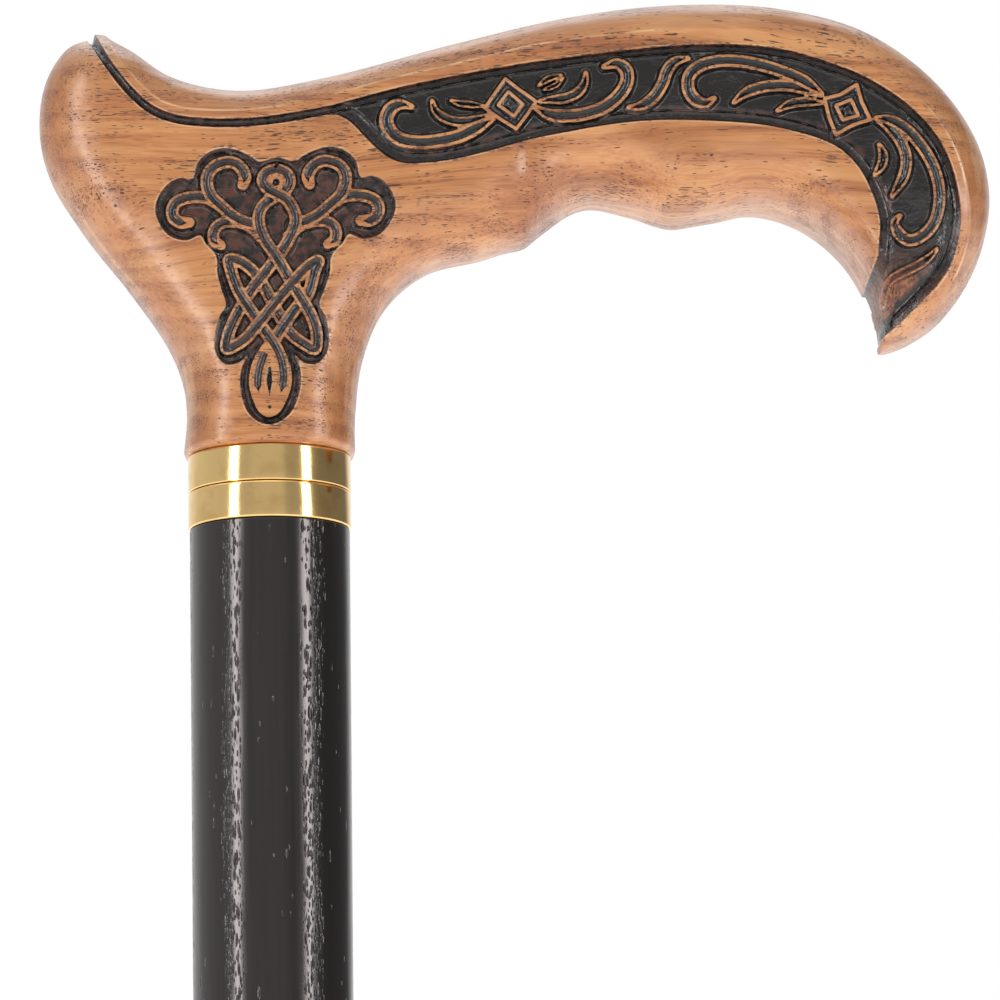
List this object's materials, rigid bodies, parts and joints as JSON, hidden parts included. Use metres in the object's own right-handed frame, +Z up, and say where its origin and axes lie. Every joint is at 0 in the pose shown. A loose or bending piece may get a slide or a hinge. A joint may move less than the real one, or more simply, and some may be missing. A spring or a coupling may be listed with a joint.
{
  "type": "derby cane",
  "caption": "Walking cane with a carved wooden derby handle, a brass collar, a black lacquered shaft and a rubber tip.",
  "frame": {"origin": "centre of the rubber tip's foot, on the floor", "axes": "+Z up the shaft, +X to the handle's nose, the two carved sides face -Y and +Y"},
  "size_m": [0.1294, 0.036, 0.915],
  "materials": {
    "handle_wood": "satin lacquer, open grain",
    "collar_brass": "polished",
    "insert_brass": "machined",
    "stud_steel": "zinc plated",
    "shaft_lacquer": "black-brown gloss lacquer, open pores",
    "tip_rubber": "matt moulded",
    "washer_steel": "plain"
  },
  "bodies": {
    "cane": {"handle": "handle_wood", "handle_insert": "insert_brass", "collar_upper_ring": "collar_brass", "collar_lower_ring": "collar_brass", "stud": "stud_steel", "shaft": "shaft_lacquer"},
    "tip": {"rubber_tip": "tip_rubber", "tip_washer": "washer_steel"}
  },
  "joints": [
    {"name": "tip_pull", "type": "slide", "parent": "cane", "child": "tip", "axis": [0, 0, -1], "range_m": [0, 0.036]}
  ]
}
